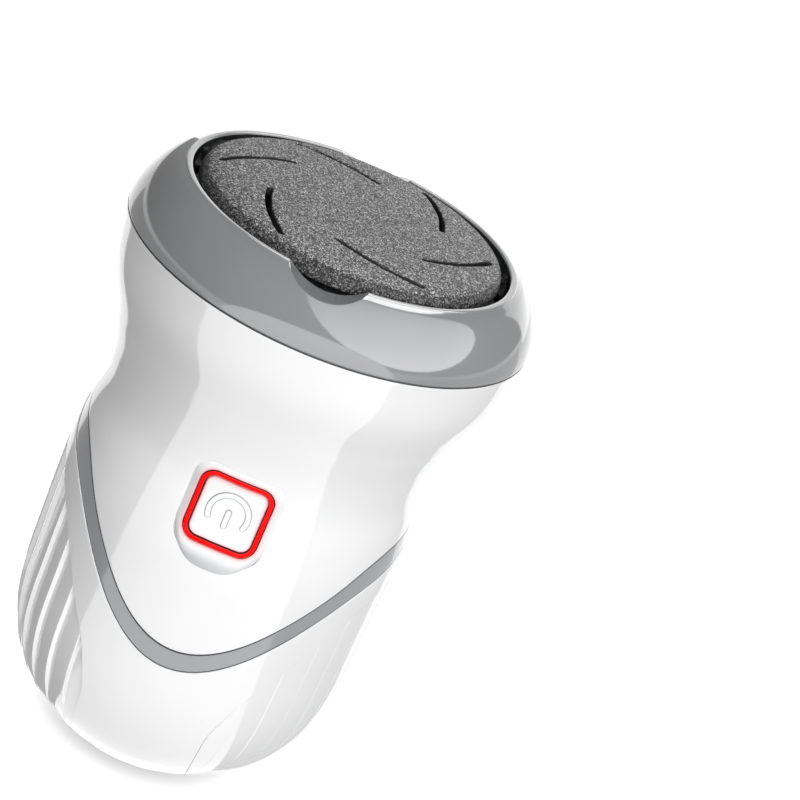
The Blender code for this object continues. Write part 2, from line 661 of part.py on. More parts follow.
def build():
    frame = bpy.data.objects.new("button_frame", None)
    PARTS.objects.link(frame)
    frame.location = on_body(0.0, BUTTON_Z)
    frame.rotation_euler = (math.radians(-BUTTON_LEAN), 0.0, 0.0)
    bezel_loop = rounded_rectangle(BEZEL_WIDTH, BEZEL_HEIGHT, 4.0, shift=-BEZEL_DROP)
    cut_loop = rounded_rectangle(BEZEL_WIDTH + 2 * GAP, BEZEL_HEIGHT + 2 * GAP, 4.0 + GAP,
                                 shift=-BEZEL_DROP)
    bezel_cutter = flat_solid("bezel_cutter", [cut_loop], 16.0, None)
    bezel_cutter.rotation_euler = (math.radians(90), 0.0, 0.0)
    under(bezel_cutter, frame)
    socket_cutter = flat_solid("socket_cutter", [rounded_rectangle(9.8, 4.1, 1.9)], 12.0, None)
    socket_cutter.rotation_euler = (math.radians(90), 0.0, 0.0)
    socket_cutter.location = Vector((0.0, body_radius(SOCKET_Z), SOCKET_Z)) * MM
    build_upper_shell(bezel_cutter)
    build_trim_band()
    build_front_shell()
    build_grip_shell(socket_cutter)
    build_base()
    build_collar()
    build_disc()
    build_rotor()
    build_head_inside()
    build_motor()
    build_cell()
    build_charging()
    build_button_stack(frame, bezel_loop)
    build_wires()


clear_scene()
PARTS = new_collection(OBJECT_NAME)
CUTTERS = new_collection("cutters")
build()
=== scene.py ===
"""Looks of the electric callus remover: fine shells, ribs, grit, lit button, studio and camera."""
import json
import math

import bmesh
import bpy
import numpy as np
from mathutils import Matrix, Vector


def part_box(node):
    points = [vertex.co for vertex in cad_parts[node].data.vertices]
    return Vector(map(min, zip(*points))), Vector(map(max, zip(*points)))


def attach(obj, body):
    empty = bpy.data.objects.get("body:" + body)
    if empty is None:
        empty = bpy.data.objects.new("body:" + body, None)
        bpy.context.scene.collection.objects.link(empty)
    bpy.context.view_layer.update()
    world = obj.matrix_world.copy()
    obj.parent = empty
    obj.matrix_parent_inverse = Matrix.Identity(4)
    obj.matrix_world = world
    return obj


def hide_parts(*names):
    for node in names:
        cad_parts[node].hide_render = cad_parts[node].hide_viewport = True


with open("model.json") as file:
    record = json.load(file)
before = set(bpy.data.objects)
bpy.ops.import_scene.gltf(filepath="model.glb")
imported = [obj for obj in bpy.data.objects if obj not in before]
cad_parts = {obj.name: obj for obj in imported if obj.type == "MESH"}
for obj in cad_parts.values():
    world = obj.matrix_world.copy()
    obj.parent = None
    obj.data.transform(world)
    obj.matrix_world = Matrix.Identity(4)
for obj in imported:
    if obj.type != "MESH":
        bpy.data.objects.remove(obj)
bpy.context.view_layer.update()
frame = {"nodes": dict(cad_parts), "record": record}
NODES = frame["nodes"]
MM = 0.001
RNG = np.random.default_rng(7)

# Driving sizes, in millimetres, as in the CAD part; heights that the frame holds are read from it

WALL = 2.0
HEAD_RADIUS = 35.0
HEAD_SEAM_Z = 95.9
BELLY_RADIUS = 30.3
BELLY_Z = 31.0
DOME_POWER = 2.6
DOME_CUT = 0.8
# Height and radius, from the belly up to the head's joint
NECK_OUTLINE = ((31.0, 30.3), (44.0, 30.4), (53.0, 30.25), (59.0, 29.5), (66.0, 28.5),
                (72.0, 29.1), (79.0, 31.0), (87.0, 33.7), (95.9, 35.0))
COLLAR_HEIGHT = 9.8
COLLAR_LIP_RADIUS = 28.3
COLLAR_BORE = 27.4
COLLAR_ROUNDNESS = 1.6
NOTCH_RADIUS = 9.7
NOTCH_DEPTH = 2.4
DISC_RADIUS = 26.0
DISC_TOP_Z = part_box("grinding_disc")[1].z / MM
DISC_BOTTOM_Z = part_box("grinding_disc")[0].z / MM
SLOT_COUNT = 6
SLOT_WIDTH = 1.05
SLOT_START = 6.0           # degrees
SLOT_SWEEP = 40.7
SLOT_CURVE = (0.89, -0.413, 0.118)  # radius along a slot, as shares of the disc's radius
BAND_TIP_Z = 35.9
BAND_RISE = 22.5
BAND_SPREAD = 69.0
BAND_TAIL = 5.6
TAIL_START = 60.0
TAIL_END = 110.0
BAND_WIDTH = 3.8
BAND_WIDENING = 1.3
BAND_NARROWING = 1.0
BAND_SINK = 0.12
BASE_TOP_Z = 6.0
# Height, and degrees from the front, of the joint between the front shell and the grip shell
GRIP_EDGE = ((6.0, 27.5), (10.0, 24.5), (17.0, 22.4), (20.0, 22.3), (25.0, 25.0), (29.0, 28.6),
             (33.0, 34.5), (38.0, 42.0), (44.0, 53.0), (47.0, 62.0), (49.5, 72.0), (51.0, 80.0),
             (53.3, 88.0), (56.4, 95.5), (59.5, 102.0))
RIB_PITCH = 9.5            # degrees
RIB_DEPTH = 0.7
RIB_FRONT = 0.06           # share of the pitch that a rib's steep front face takes
RIB_ROUNDING = 0.12        # rounding of a rib's crest, as a share of its depth
BUTTON_Z = 62.5
BUTTON_LEAN = 8.0
RING_SIDE = 12.4
RING_BAND = 0.86
RING_GAP = 0.10
BEZEL_WIDTH = 15.8
BEZEL_HEIGHT = 17.2
BEZEL_DROP = 0.9
BEZEL_PROUD = 0.4
KEY_ROUNDING = 0.25
SYMBOL_HEIGHT = 0.22
SYMBOL_HALF_STROKE = 0.47
CORNER = 2.6
SOCKET_Z = 16.0
GRAIN = 0.2                # size of the disc's grains
GRIT_DEPTH = 0.09
SEAM = 0.10                # half of a joint line's width
FINE_SEAM = 0.05           # the same, at the grip shell's front edge and the band's lower edge
SYMBOL_RADIUS = 3.24
LIP_WIDTH = 1.18           # flat lip round the collar's opening
CARRIER_GAP = 31.2         # radius of the collar's skirt, which drops into the head
WORLD_LEFT = 0.19          # strength of the surrounding light on each side
WORLD_RIGHT = 0.5
HEAD = Vector((0, 0, 0.09))  # what the lights are aimed at, in metres
WHITE_TINTS = ((0.80, 0.80, 0.805), (0.78, 0.78, 0.79))
PEEL = 0.00002             # depth of the orange peel in gloss plastic, in metres
FOCAL_LENGTH = 90.69705


# Outline of the body

def smooth_value(points, at):
    """Smooth curve through (position, value) points, for one position or an array of them."""
    xs = np.array([point[0] for point in points])
    ys = np.array([point[1] for point in points])
    slopes = np.gradient(ys, xs)
    at = np.clip(at, xs[0], xs[-1])
    i = np.clip(np.searchsorted(xs, at, side="right") - 1, 0, len(xs) - 2)
    step = xs[i + 1] - xs[i]
    t = (at - xs[i]) / step
    start = (1 + 2 * t) * (1 - t) ** 2 * ys[i] + t * (1 - t) ** 2 * step * slopes[i]
    end = t * t * (3 - 2 * t) * ys[i + 1] + t * t * (t - 1) * step * slopes[i + 1]
    return start + end


def body_radius(z):
    z = np.asarray(z, float)
    fall = np.clip((BELLY_Z - z) / (BELLY_Z + DOME_CUT), 0, 1)
    dome = BELLY_RADIUS * (1 - fall ** DOME_POWER) ** (1 / DOME_POWER)
    return np.where(z > BELLY_Z, smooth_value(NECK_OUTLINE, z), dome)


def collar_radius(height):
    rise = np.clip(np.asarray(height, float) / COLLAR_HEIGHT, 0, 1)
    reach = HEAD_RADIUS - COLLAR_LIP_RADIUS
    return COLLAR_LIP_RADIUS + reach * (1 - rise ** COLLAR_ROUNDNESS) ** (1 / COLLAR_ROUNDNESS)


def band_climb(phi):
    return np.sin(np.radians(90 * np.clip(np.abs(phi) / BAND_SPREAD, 0, 1))) ** 2


def band_tail(phi):
    return smoothstep(TAIL_START, TAIL_END, np.abs(phi))


def band_top(phi):
    return BAND_TIP_Z + BAND_RISE * band_climb(phi) + BAND_TAIL * band_tail(phi)


def band_bottom(phi):
    width = BAND_WIDTH + BAND_WIDENING * band_climb(phi) - BAND_NARROWING * band_tail(phi)
    return band_top(phi) - width


def at_body(phi, radius, z):
    """Points in metres from an angle in degrees from the front, a radius and a height."""
    angle = np.radians(phi)
    return np.stack([radius * np.sin(angle), -radius * np.cos(angle), z + 0 * radius], -1) * MM


def blend(low, high, t):
    return low + (high - low) * t


def smoothstep(low, high, x):
    t = np.clip((x - low) / (high - low), 0, 1)
    return t * t * (3 - 2 * t)


def button_axes():
    """Origin and axes of the button's own frame: across, inwards and up."""
    lean = math.radians(BUTTON_LEAN)
    origin = np.array((0.0, -float(body_radius(BUTTON_Z)), BUTTON_Z))
    inwards = np.array((0.0, math.cos(lean), -math.sin(lean)))
    up = np.array((0.0, math.sin(lean), math.cos(lean)))
    return origin, np.array((1.0, 0.0, 0.0)), inwards, up


# Mesh tools

def make_object(name, vertices, faces):
    mesh = bpy.data.meshes.new(name)
    mesh.from_pydata([tuple(v) for v in vertices], [], faces)
    mesh.validate()
    piece = bpy.data.objects.new(name, mesh)
    bpy.context.scene.collection.objects.link(piece)
    mesh.shade_smooth()
    return piece


def grid_faces(columns, rows, closed):
    """Quads of a grid whose vertex index is u * rows + v; closed joins the last column on."""
    faces = []
    for u in range(columns if closed else columns - 1):
        here, there = u * rows, (u + 1) % columns * rows
        faces += [(here + v, there + v, there + v + 1, here + v + 1) for v in range(rows - 1)]
    return faces


def sheet(name, columns, rows, surface, closed=False):
    """A grid over surface(u, v), whose normals point out of the body."""
    us = np.linspace(0, 1, columns, endpoint=not closed)
    vs = np.linspace(0, 1, rows)
    uu, vv = np.meshgrid(us, vs, indexing="ij")
    points = surface(uu, vv).reshape(-1, 3)
    return make_object(name, points, grid_faces(columns, rows, closed))


def turned(name, profile, segments=192):
    """Turn a profile of (radius, height), run down its outer side, about the Z axis."""
    mesh = bpy.data.meshes.new(name)
    points = [(radius * MM, 0.0, z * MM) for radius, z in profile]
    edges = [(i, i + 1) for i in range(len(points) - 1)]
    if profile[0][0] > 0:
        edges.append((len(points) - 1, 0))
    mesh.from_pydata(points, edges, [])
    piece = bpy.data.objects.new(name, mesh)
    bpy.context.scene.collection.objects.link(piece)
    screw = piece.modifiers.new("Turn", "SCREW")
    screw.steps = segments
    screw.render_steps = segments
    screw.use_merge_vertices = True
    screw.merge_threshold = 0.000001
    screw.use_smooth_shade = True
    return piece


def loft(name, loops, cap_start=False, cap_end=False):
    """Skin a list of closed loops, which have the same number of points, in millimetres."""
    rows, count = len(loops), len(loops[0])
    points = np.array(loops).transpose(1, 0, 2).reshape(-1, 3) * MM
    faces = grid_faces(count, rows, True)
    if cap_start:
        faces.append(tuple(i * rows for i in range(count))[::-1])
    if cap_end:
        faces.append(tuple(i * rows + rows - 1 for i in range(count)))
    return make_object(name, points, faces)


def apply_modifiers(piece):
    """Turn a piece's modifiers into plain mesh."""
    graph = bpy.context.evaluated_depsgraph_get()
    mesh = bpy.data.meshes.new_from_object(piece.evaluated_get(graph))
    piece.modifiers.clear()
    piece.data = mesh
    return piece


def thicken(piece, wall=WALL):
    solid = piece.modifiers.new("Wall", "SOLIDIFY")
    solid.thickness = wall * MM
    solid.offset = -1.0
    return piece


def round_edges(piece, width, segments=3, angle=35.0):
    rounding = piece.modifiers.new("Round", "BEVEL")
    rounding.width = width * MM
    rounding.segments = segments
    rounding.limit_method = "ANGLE"
    rounding.angle_limit = math.radians(angle)
    rounding.harden_normals = False
    return piece


def cut(piece, cutter):
    modifier = piece.modifiers.new("Cut", "BOOLEAN")
    modifier.operation = "DIFFERENCE"
    modifier.solver = "MANIFOLD"
    modifier.object = cutter
    apply_modifiers(piece)
    bpy.data.objects.remove(cutter)
    return piece


def face_out(piece):
    shape = bmesh.new()
    shape.from_mesh(piece.data)
    bmesh.ops.recalc_face_normals(shape, faces=shape.faces)
    shape.to_mesh(piece.data)
    shape.free()
    return piece


def paint_faces(piece, material, choose):
    """Give a second material to the faces for which choose(centre, normal) is true."""
    piece.data.materials.append(material)
    index = len(piece.data.materials) - 1
    for face in piece.data.polygons:
        if choose(face.center, face.normal):
            face.material_index = index


def finish_piece(piece, material, body, slot, *nodes):
    piece.data.materials.clear()
    piece.data.materials.append(material)
    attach(piece, body)
    if nodes:
        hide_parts(*nodes)
    return piece


# Materials

class Nodes:
    """Short calls for building a material's node tree."""

    def __init__(self, name):
        self.material = bpy.data.materials.new(name)
        self.material.use_nodes = True
        self.tree = self.material.node_tree
        self.shader = self.tree.nodes["Principled BSDF"]
        self.place = self.tree.nodes.new("ShaderNodeTexCoord").outputs["Object"]

    def node(self, kind, **values):
        made = self.tree.nodes.new(kind)
        for name, value in values.items():
            setattr(made, name, value)
        return made

    def link(self, source, target):
        self.tree.links.new(source, target)

    def noise(self, scale, detail, roughness=0.5, stretch=None):
        """Noise whose scale is in waves per metre."""
        made = self.node("ShaderNodeTexNoise")
        made.inputs["Scale"].default_value = scale
        made.inputs["Detail"].default_value = detail
        made.inputs["Roughness"].default_value = roughness
        source = self.place
        if stretch:
            mapping = self.node("ShaderNodeMapping")
            mapping.inputs["Scale"].default_value = stretch
            self.link(source, mapping.inputs["Vector"])
            source = mapping.outputs["Vector"]
        self.link(source, made.inputs["Vector"])
        return made.outputs["Fac"]

    def cells(self, scale, output="Color"):
        """Voronoi cells whose scale is in cells per metre."""
        made = self.node("ShaderNodeTexVoronoi")
        made.inputs["Scale"].default_value = scale
        self.link(self.place, made.inputs["Vector"])
        return made.outputs[output]

    def ramp(self, source, stops):
        """Colour ramp through (position, colour) stops; a grey is one number."""
        made = self.node("ShaderNodeValToRGB")
        elements = made.color_ramp.elements
        while len(elements) < len(stops):
            elements.new(0.5)
        for element, (at, colour) in zip(elements, stops):
            element.position = at
            grey = isinstance(colour, (int, float))
            element.color = (colour, colour, colour, 1.0) if grey else (*colour, 1.0)
        self.link(source, made.inputs["Fac"])
        return made.outputs["Color"]

    def mix(self, factor, first, second):
        made = self.node("ShaderNodeMix", data_type="RGBA")
        for socket, value in ((made.inputs["Factor"], factor), (made.inputs["A"], first),
                              (made.inputs["B"], second)):
            self.feed(socket, value)
        return made.outputs["Result"]

    def feed(self, socket, value):
        if isinstance(value, bpy.types.NodeSocket):
            self.link(value, socket)
        elif isinstance(value, tuple) and len(value) == 3:
            socket.default_value = (*value, 1.0)
        else:
            socket.default_value = value

    def math(self, operation, first, second=0.0):
        made = self.node("ShaderNodeMath", operation=operation)
        self.feed(made.inputs[0], first)
        self.feed(made.inputs[1], second)
        return made.outputs[0]

    def span(self, source, low, high):
        made = self.node("ShaderNodeMapRange")
        self.link(source, made.inputs["Value"])
        made.inputs["To Min"].default_value = low
        made.inputs["To Max"].default_value = high
        return made.outputs["Result"]

    def bump(self, height, strength, distance):
        """Bump; distance is in metres."""
        made = self.node("ShaderNodeBump")
        made.inputs["Strength"].default_value = strength
        made.inputs["Distance"].default_value = distance
        self.link(height, made.inputs["Height"])
        return made.outputs["Normal"]

    def set(self, **values):
        """Feed the shader's sockets, named with _ for a space."""
        for name, value in values.items():
            self.feed(self.shader.inputs[name.replace("_", " ")], value)
        return self.material


def gloss_plastic(name, colour, shade, roughness, coat=0.0):
    """Moulded gloss plastic: faint flow marks, handling haze in the gloss and orange peel."""
    nodes = Nodes(name)
    flow = nodes.noise(55.0, 3.0, 0.5, (1.0, 1.0, 0.35))
    tint = nodes.mix(nodes.ramp(flow, ((0.35, 0.0), (0.7, 1.0))), colour, shade)
    haze = nodes.span(nodes.noise(140.0, 5.0, 0.6), roughness * 0.75, roughness * 1.3)
    peel = nodes.bump(nodes.noise(420.0, 2.0, 0.4), 0.25, PEEL)
    return nodes.set(Base_Color=tint, Roughness=haze, Normal=peel, Coat_Weight=coat,
                     Coat_Roughness=0.04, IOR=1.5)


def satin_plastic(name, colour, shade, roughness):
    """Moulded plastic with a fine spark-eroded grain."""
    nodes = Nodes(name)
    tint = nodes.mix(nodes.ramp(nodes.noise(90.0, 4.0), ((0.3, 0.0), (0.75, 1.0))), colour, shade)
    rough = nodes.span(nodes.noise(900.0, 3.0), roughness * 0.85, roughness * 1.15)
    grain = nodes.bump(nodes.noise(4200.0, 2.0, 0.6), 0.35, 0.00003)
    return nodes.set(Base_Color=tint, Roughness=rough, Normal=grain, IOR=1.49)


def grit_material(name, light):
    """Dark mineral grit in black resin, with pale and bright grains; light scales the pale ones."""
    nodes = Nodes(name)
    shares = []
    for scale in (5800.0, 4100.0):
        split = nodes.node("ShaderNodeSeparateColor")
        nodes.link(nodes.cells(scale), split.inputs["Color"])
        shares.append(split.outputs)
    fine = nodes.ramp(shares[0]["Red"], ((0.0, 0.006), (0.5, 0.02), (0.68, 0.12 * light),
                                         (0.84, 0.4 * light), (0.95, 0.95 * light)))
    coarse = nodes.ramp(shares[1]["Red"], ((0.0, 0.008), (0.66, 0.02), (0.82, 0.2 * light),
                                           (0.95, 0.85 * light)))
    tint = nodes.mix(0.4, fine, coarse)
    rough = nodes.span(shares[0]["Green"], 0.2, 0.75)
    tilt = nodes.bump(shares[0]["Blue"], 0.8, 0.00012)
    return nodes.set(Base_Color=tint, Roughness=rough, Normal=tilt, Specular_IOR_Level=0.25)


def glow_material():
    """Red light guide, lit from behind, with faint clouding."""
    nodes = Nodes("ring_glow")
    dim, bright = (0.82, 0.0, 0.0), (0.95, 0.002, 0.002)
    cloud = nodes.ramp(nodes.noise(260.0, 2.0), ((0.3, dim), (0.7, bright)))
    rough = nodes.span(nodes.noise(300.0, 3.0), 0.25, 0.4)
    return nodes.set(Base_Color=cloud, Roughness=rough, Emission_Color=cloud, Emission_Strength=0.7,
                     Specular_IOR_Level=0.06)


def white_with_painted_glow_and_shade():
    """Gloss white with a painted red glow close to the lit ring, and painted shade below the ring
    that grows towards its left.
    """
    nodes = Nodes("shell_painted_glow_and_shade")
    origin, across, _, up = button_axes()
    offset = nodes.node("ShaderNodeVectorMath", operation="SUBTRACT")
    nodes.link(nodes.place, offset.inputs[0])
    offset.inputs[1].default_value = tuple(origin * MM)
    reach, signed = [], []
    for axis in (across, up):
        along = nodes.node("ShaderNodeVectorMath", operation="DOT_PRODUCT")
        nodes.link(offset.outputs["Vector"], along.inputs[0])
        along.inputs[1].default_value = tuple(axis)
        signed.append(along.outputs["Value"])
        distance = nodes.math("ABSOLUTE", along.outputs["Value"])
        straight = RING_SIDE / 2 - CORNER
        reach.append(nodes.math("MAXIMUM", nodes.math("SUBTRACT", distance, straight * MM), 0.0))
    square = nodes.math("ADD", *[nodes.math("POWER", each, 2.0) for each in reach])
    from_ring = nodes.math("ABSOLUTE", nodes.math("SUBTRACT", nodes.math("SQRT", square),
                                                (CORNER - RING_BAND / 2) * MM))
    # painted red glow: strongest at the ring's edge and gone about a millimetre away
    near = nodes.node("ShaderNodeMapRange")
    nodes.link(from_ring, near.inputs["Value"])
    near.inputs["From Min"].default_value = RING_BAND * 0.5 * MM
    near.inputs["From Max"].default_value = (RING_BAND * 0.5 + 1.1) * MM
    near.inputs["To Min"].default_value = 1.0
    near.inputs["To Max"].default_value = 0.0
    share = nodes.math("MULTIPLY", nodes.math("POWER", near.outputs["Result"], 2.2), 0.85)
    flow = nodes.noise(55.0, 3.0, 0.5, (1.0, 1.0, 0.35))
    white = nodes.mix(flow, *WHITE_TINTS)
    # painted shade: greyer below the ring, and more so towards its left
    below = nodes.node("ShaderNodeMapRange", interpolation_type="SMOOTHSTEP")
    nodes.link(signed[1], below.inputs["Value"])
    below.inputs["From Min"].default_value = -(RING_SIDE / 2 + 0.7) * MM
    below.inputs["From Max"].default_value = -(RING_SIDE / 2 + 3.2) * MM
    shade_to_left = nodes.node("ShaderNodeMapRange")
    nodes.link(signed[0], shade_to_left.inputs["Value"])
    shade_to_left.inputs["From Min"].default_value = 7.0 * MM
    shade_to_left.inputs["From Max"].default_value = -3.0 * MM
    shade_to_left.inputs["To Min"].default_value = 0.3
    shade_to_left.inputs["To Max"].default_value = 0.95
    dim = nodes.math("MULTIPLY", below.outputs["Result"], shade_to_left.outputs["Result"])
    # the grey is the painted shade and the red is the painted glow
    tint = nodes.mix(share, nodes.mix(dim, white, (0.47, 0.475, 0.49)), (0.95, 0.05, 0.06))
    haze = nodes.span(nodes.noise(140.0, 5.0, 0.6), 0.12, 0.2)
    peel = nodes.bump(nodes.noise(420.0, 2.0, 0.4), 0.25, PEEL)
    return nodes.set(Base_Color=tint, Roughness=haze, Normal=peel, Coat_Weight=0.6,
                     Coat_Roughness=0.08)


def soft_material(name, colour, shade, pore):
    """Rubber or foam with pores of the given size in metres."""
    nodes = Nodes(name)
    pores = nodes.cells(1.0 / pore, "Distance")
    tint = nodes.mix(nodes.ramp(pores, ((0.0, 0.0), (0.6, 1.0))), colour, shade)
    return nodes.set(Base_Color=tint, Roughness=nodes.span(nodes.noise(700.0, 3.0), 0.7, 0.95),
                     Normal=nodes.bump(pores, 0.5, pore * 0.4))


def metal_material(name, colour, roughness):
    """Drawn or plated metal with fine lines along Z."""
    nodes = Nodes(name)
    lines = nodes.noise(2600.0, 3.0, 0.6, (1.0, 1.0, 0.04))
    darker = tuple(0.8 * c for c in colour)
    tint = nodes.mix(nodes.ramp(lines, ((0.3, 0.0), (0.7, 1.0))), colour, darker)
    return nodes.set(Base_Color=tint, Metallic=1.0, Normal=nodes.bump(lines, 0.2, 0.00002),
                     Roughness=nodes.span(lines, roughness * 0.8, roughness * 1.3))


WHITE = gloss_plastic("shell_gloss", *WHITE_TINTS, 0.08, 1.0)
GRIP = gloss_plastic("grip_gloss", *WHITE_TINTS, 0.10, 0.9)
GREY = gloss_plastic("collar_gloss", (0.225, 0.228, 0.233), (0.21, 0.213, 0.218), 0.10, 1.0)
BAND = gloss_plastic("band_gloss", (0.27, 0.276, 0.288), (0.258, 0.264, 0.275), 0.14, 1.0)
GRIT = grit_material("grit", 0.85)
# painted shade: a darker copy of the grit, for the disc's side wall
GRIT_SIDE_SHADE = grit_material("grit_side_painted_shade", 0.4)
GLOW = glow_material()
BLACK = satin_plastic("inner_black", (0.016, 0.016, 0.018), (0.026, 0.026, 0.028), 0.42)
DARK_GLOSS = gloss_plastic("bore_gloss", (0.02, 0.021, 0.023), (0.03, 0.031, 0.033), 0.12, 0.6)
# gloss white with a painted red glow and painted shade, for the pad and the key
WHITE_PAINTED_GLOW_AND_SHADE = white_with_painted_glow_and_shade()
# painted shade: grey for the walls of the raised power symbol
SYMBOL_WALL_SHADE = satin_plastic("symbol_edge_painted_shade", (0.36, 0.36, 0.37), (0.33, 0.33, 0.34), 0.5)
# painted shade: dark red for the light ring's rims, in the gaps beside it
RING_RIM_SHADE = satin_plastic("ring_edge_painted_shade", (0.06, 0.003, 0.003), (0.045, 0.002, 0.002), 0.5)
# painted shade: dark for the strips that fill the joint lines
SEAM_SHADE = satin_plastic("seam_painted_shade", (0.02, 0.02, 0.022), (0.03, 0.03, 0.032), 0.6)
RUBBER = soft_material("foot_rubber", (0.03, 0.03, 0.033), (0.05, 0.05, 0.054), 0.0008)
FOAM = soft_material("filter_foam", (0.09, 0.09, 0.10), (0.02, 0.02, 0.02), 0.0006)
STEEL = metal_material("plated_steel", (0.62, 0.62, 0.64), 0.26)
MAGNET = metal_material("magnet_dark", (0.16, 0.16, 0.17), 0.5)
COPPER = metal_material("armature_copper", (0.72, 0.36, 0.18), 0.35)
CELL = gloss_plastic("cell_sleeve", (0.03, 0.11, 0.38), (0.02, 0.09, 0.33), 0.22)
BOARD = satin_plastic("board_green", (0.012, 0.13, 0.05), (0.02, 0.17, 0.07), 0.35)
LAMP = gloss_plastic("lamp_body", (0.8, 0.7, 0.35), (0.75, 0.66, 0.3), 0.3)
LEAD_RED = satin_plastic("lead_red", (0.55, 0.015, 0.012), (0.48, 0.012, 0.01), 0.4)
LEAD_BLACK = satin_plastic("lead_black", (0.018, 0.018, 0.02), (0.028, 0.028, 0.03), 0.4)

SLOT_LOOKS = {"shell_white": WHITE, "collar_grey": GREY, "band_grey": BAND, "grit": GRIT,
              "rubber": RUBBER, "sponge": FOAM, "black_plastic": BLACK, "steel": STEEL,
              "magnet": MAGNET, "copper": COPPER, "cell_wrap": CELL, "board_green": BOARD,
              "ring_red": GLOW, "led": LAMP, "wire_red": LEAD_RED, "wire_black": LEAD_BLACK}


def dress_cad_nodes():
    """Every CAD node that stays gets the procedural material of its slot."""
    for entry in frame["record"]["subparts"]:
        node = NODES[entry["node"]]
        node.data.materials.clear()
        node.data.materials.append(SLOT_LOOKS[entry["material_slot"]])


# Shells

def in_button(x, depth, z):
    """Points in millimetres from the button's own frame."""
    origin, across, inwards, up = button_axes()
    x, depth, z = np.broadcast_arrays(x, depth, z)
    return origin + x[..., None] * across + depth[..., None] * inwards + z[..., None] * up


def skin_depth(x, z):
    """How far inwards the body's skin lies from the button's plane."""
    low = np.full(np.broadcast(x, z).shape, -3.0)
    high = np.full(low.shape, 6.0)
    for _ in range(30):
        middle = (low + high) / 2
        point = in_button(x, middle, z)
        outside = np.hypot(point[..., 0], point[..., 1]) > body_radius(point[..., 2])
        low = np.where(outside, middle, low)
        high = np.where(outside, high, middle)
    return (low + high) / 2


def rounded_loop(width, height, radius, lower_radius=None, shift=0.0, bulge=0.0, steps=30):
    """Points of a rounded rectangle in (x, z), counter-clockwise; its lower side may bulge."""
    lower_radius = lower_radius or radius
    arcs = []
    for side_x, side_z, start in ((1, 1, 0), (-1, 1, 90), (-1, -1, 180), (1, -1, 270)):
        r = radius if side_z > 0 else lower_radius
        angle = np.radians(np.linspace(start, start + 90, steps))
        arcs.append(np.stack([side_x * (width / 2 - r) + r * np.cos(angle),
                              side_z * (height / 2 - r) + r * np.sin(angle)], -1))
    points = []
    for arc, following in zip(arcs, arcs[1:] + arcs[:1]):
        along = np.linspace(0, 1, steps + 2)[1:-1, None]
        points += [arc, blend(arc[-1], following[0], along)]
    loop = np.concatenate(points)
    low = smoothstep(0.15, 0.5, -loop[:, 1] / height)
    loop[:, 1] += shift - bulge * low * np.cos(math.pi * loop[:, 0] / width)
    return loop


def prism(name, loop, near, far):
    """A straight prism through the body along the button's axis, used as a cutter."""
    loops = [in_button(loop[:, 0], np.full(len(loop), d), loop[:, 1]) for d in (near, far)]
    return face_out(loft(name, loops, cap_start=True, cap_end=True))


def build_upper_shell():
    def surface(u, v):
        phi = blend(-180, 180, u)
        z = blend(band_top(phi) + SEAM, HEAD_SEAM_Z - SEAM, v)
        return at_body(phi, body_radius(z), z)

    shell = apply_modifiers(thicken(sheet("shell_upper", 240, 80, surface, closed=True)))
    hole = rounded_loop(BEZEL_WIDTH - 0.8, BEZEL_HEIGHT - 0.8, 2.6, 4.8, -BEZEL_DROP, 0.0, 12)
    cut(shell, prism("bezel_hole", hole, -4.0, 8.0))
    round_edges(shell, 0.28)
    finish_piece(shell, WHITE, "housing", "shell_white", "upper_shell")


def build_band():
    def surface(u, v):
        phi = blend(-180, 180, u)
        z = blend(band_bottom(phi) + FINE_SEAM, band_top(phi) - SEAM, v)
        return at_body(phi, body_radius(z) - BAND_SINK, z)

    band = thicken(sheet("band", 288, 8, surface, closed=True))
    round_edges(band, 0.18)
    finish_piece(band, BAND, "housing", "band_grey", "trim_band")

    def line(edge, low, high, sink):
        def surface(u, v):
            phi = blend(-180, 180, u)
            z = edge(phi) + blend(low, high, v)
            return at_body(phi, body_radius(z) - sink, z)
        return surface

    # dark strips along the band's upper and lower joints, given the rubber slot, stand in for the
    # shade in those joints: painted shade
    for name, edge, low, high, sink in (("band_shadow_line_top", band_top, -0.26, -0.06, 0.03),
                                        ("band_shadow_line_low", band_bottom, -0.12, 0.1, 0.16)):
        strip = thicken(sheet(name, 288, 3, line(edge, low, high, sink), closed=True), 0.4)
        finish_piece(strip, SEAM_SHADE, "housing", "rubber")


def grip_edge(v):
    low = BASE_TOP_Z + SEAM
    z = blend(low, band_bottom(GRIP_EDGE[-1][1]) - SEAM, v)
    return z, smooth_value(GRIP_EDGE, z)


def lower_height(phi, edge_z, edge_phi):
    """Height at phi on the front shell's row that meets the grip's edge at edge_z."""
    base = BASE_TOP_Z + SEAM
    share = (band_bottom(phi) - SEAM - base) / (band_bottom(edge_phi) - SEAM - base)
    return base + (edge_z - base) * share


def build_front_shell():
    def surface(u, v):
        side = blend(-1, 1, u)
        edge_z, edge_phi = grip_edge(v)
        phi = side * (edge_phi - np.degrees(FINE_SEAM / body_radius(edge_z)))
        z = lower_height(phi, edge_z, edge_phi)
        return at_body(phi, body_radius(z), z)

    shell = round_edges(thicken(sheet("shell_front", 160, 64, surface)), 0.1)
    finish_piece(shell, WHITE, "housing", "shell_white", "front_shell")


def rib_height(turn):
    """Height share of the louvre-like ribs; turn counts pitches from the front to the back."""
    t = turn % 1.0
    rise, fall = t / RIB_FRONT, (1 - t) / (1 - RIB_FRONT)
    return np.maximum((rise + fall - np.hypot(rise - fall, RIB_ROUNDING)) / 2, 0.0)


def rib_strength(phi):
    """The ribs are shallow on the right of the front and full everywhere else."""
    return blend(1.0, 0.1, smoothstep(0, 15, phi) * (1 - smoothstep(80, 120, phi)))


